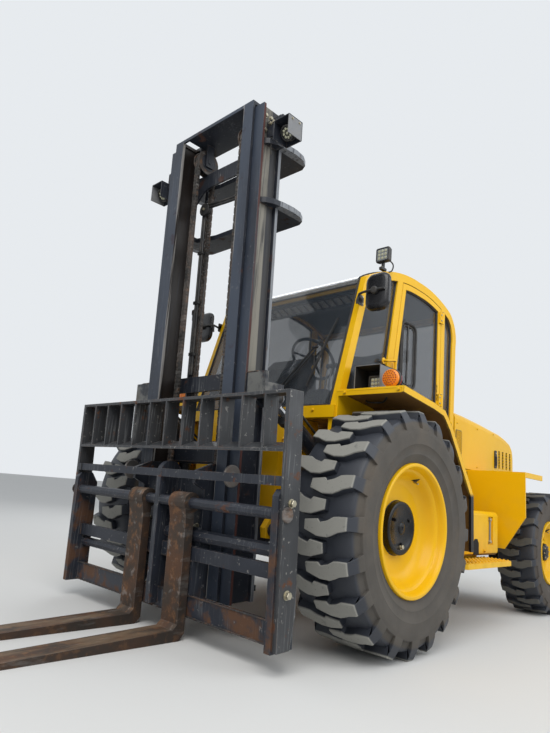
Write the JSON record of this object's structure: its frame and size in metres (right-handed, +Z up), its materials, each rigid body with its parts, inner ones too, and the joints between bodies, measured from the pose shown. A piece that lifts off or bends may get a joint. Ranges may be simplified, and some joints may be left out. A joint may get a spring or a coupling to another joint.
{
  "type": "rough terrain forklift",
  "caption": "Rough terrain forklift with a two-stage mast, pin-type fork carriage with load backrest, large lugged drive tyres, closed cab and rear-steer axle.",
  "frame": {"origin": "centre of the bounding box on the ground, under the middle of the overall length", "axes": "+Z up, forks point to -Y, the machine's left side is +X"},
  "size_m": [2.325, 4.8866, 3.138],
  "materials": {
    "body_yellow": "gloss paint, a little dusty",
    "frame_yellow": "satin paint with road dirt",
    "cast_yellow": "painted casting",
    "wheel_yellow": "gloss paint",
    "mast_black": "satin paint, scratched, rust at edges",
    "axle_black": "satin paint",
    "engine_iron": "plain casting",
    "fork_steel": "worn, brown rust",
    "rod_chrome": "polished",
    "chain_steel": "oiled leaf chain",
    "tyre_rubber": "matt rubber, worn grey on the lugs",
    "tinted_glass": "tinted safety glass",
    "black_plastic": "grained",
    "seat_vinyl": "vinyl",
    "lamp_plastic": "lamp housings with clear and amber lenses"
  },
  "bodies": {
    "chassis": {"chassis_frame": "frame_yellow", "front_axle": "axle_black", "rear_axle": "axle_black", "engine_block": "engine_iron", "counterweight": "cast_yellow", "fuel_tank": "body_yellow", "hydraulic_tank": "body_yellow", "steps": "body_yellow", "front_fenders": "body_yellow", "rear_fenders": "body_yellow", "cowl_and_floor": "body_yellow", "cab_side_left": "body_yellow", "cab_side_right": "body_yellow", "cab_roof": "body_yellow", "cab_rear_wall": "body_yellow", "cab_glass": "tinted_glass", "dash_and_wheel": "black_plastic", "operator_seat": "seat_vinyl", "mirrors": "black_plastic", "fender_lamps": "lamp_plastic", "roof_lamps": "lamp_plastic"},
    "hood": {"engine_hood": "body_yellow"},
    "door": {"cab_door": "body_yellow", "door_glass": "tinted_glass"},
    "mast_outer": {"outer_mast": "mast_black", "lift_cylinders": "mast_black", "mast_lamps": "lamp_plastic"},
    "mast_inner": {"inner_mast": "mast_black", "lift_rods": "rod_chrome", "lift_chains": "chain_steel"},
    "carriage": {"carriage_frame": "mast_black", "load_backrest": "mast_black"},
    "left_fork": {"fork_left": "fork_steel"},
    "right_fork": {"fork_right": "fork_steel"},
    "tilt_barrel_pair": {"tilt_barrels": "mast_black"},
    "tilt_rod_pair": {"tilt_rods": "rod_chrome"},
    "left_front_wheel": {"front_wheel_left": "wheel_yellow", "front_tyre_left": "tyre_rubber"},
    "right_front_wheel": {"front_wheel_right": "wheel_yellow", "front_tyre_right": "tyre_rubber"},
    "left_knuckle": {"steer_knuckle_left": "axle_black"},
    "right_knuckle": {"steer_knuckle_right": "axle_black"},
    "left_rear_wheel": {"rear_wheel_left": "wheel_yellow", "rear_tyre_left": "tyre_rubber"},
    "right_rear_wheel": {"rear_wheel_right": "wheel_yellow", "rear_tyre_right": "tyre_rubber"}
  },
  "joints": [
    {"name": "mast_tilt", "type": "hinge", "parent": "chassis", "child": "mast_outer", "pos_m": [0, -0.79476, 0.57119], "axis": [1, 0, 0], "range_deg": [-10, 7.5]},
    {"name": "mast_lift", "type": "slide", "parent": "mast_outer", "child": "mast_inner", "axis": [0, -0.0401, 0.9992], "range_m": [0, 1.8]},
    {"name": "carriage_lift", "type": "slide", "parent": "mast_inner", "child": "carriage", "axis": [0, -0.0401, 0.9992], "range_m": [0, 1.8]},
    {"name": "fork_left_spread", "type": "slide", "parent": "carriage", "child": "left_fork", "axis": [1, 0, 0], "range_m": [-0.12, 0.605]},
    {"name": "fork_right_spread", "type": "slide", "parent": "carriage", "child": "right_fork", "axis": [-1, 0, 0], "range_m": [-0.08, 0.645]},
    {"name": "tilt_barrel_swing", "type": "hinge", "parent": "chassis", "child": "tilt_barrel_pair", "pos_m": [0, -0.25306, 0.845], "axis": [1, 0, 0], "range_deg": [-6.3, 4.7]},
    {"name": "tilt_rod_travel", "type": "slide", "parent": "tilt_barrel_pair", "child": "tilt_rod_pair", "axis": [0, -0.8578, 0.5141], "range_m": [-0.0915, 0.069]},
    {"name": "left_front_roll", "type": "hinge", "parent": "chassis", "child": "left_front_wheel", "pos_m": [0.94, -0.35306, 0.645], "axis": [1, 0, 0], "continuous": true},
    {"name": "right_front_roll", "type": "hinge", "parent": "chassis", "child": "right_front_wheel", "pos_m": [-0.94, -0.35306, 0.645], "axis": [1, 0, 0], "continuous": true},
    {"name": "left_steer", "type": "hinge", "parent": "chassis", "child": "left_knuckle", "pos_m": [0.64, 1.96194, 0.48], "axis": [0, 0, 1], "range_deg": [-35, 35]},
    {"name": "right_steer", "type": "hinge", "parent": "chassis", "child": "right_knuckle", "pos_m": [-0.64, 1.96194, 0.48], "axis": [0, 0, 1], "range_deg": [-35, 35]},
    {"name": "left_rear_roll", "type": "hinge", "parent": "left_knuckle", "child": "left_rear_wheel", "pos_m": [0.964, 1.96194, 0.48], "axis": [1, 0, 0], "continuous": true},
    {"name": "right_rear_roll", "type": "hinge", "parent": "right_knuckle", "child": "right_rear_wheel", "pos_m": [-0.964, 1.96194, 0.48], "axis": [1, 0, 0], "continuous": true},
    {"name": "door_swing", "type": "hinge", "parent": "chassis", "child": "door", "pos_m": [0.694, 0.75894, 1.9], "axis": [0, 0, 1], "range_deg": [0, 80]},
    {"name": "hood_lift", "type": "hinge", "parent": "chassis", "child": "hood", "pos_m": [0, 1.01894, 1.53], "axis": [1, 0, 0], "range_deg": [0, 50]}
  ],
  "couplings": [
    {"joint": "carriage_lift", "follows": "mast_lift", "ratio": 1},
    {"joint": "tilt_barrel_swing", "follows": "mast_tilt", "ratio": 0.62},
    {"joint": "tilt_rod_travel", "follows": "mast_tilt", "m_per_rad": 0.521},
    {"joint": "right_steer", "follows": "left_steer", "ratio": 1}
  ]
}
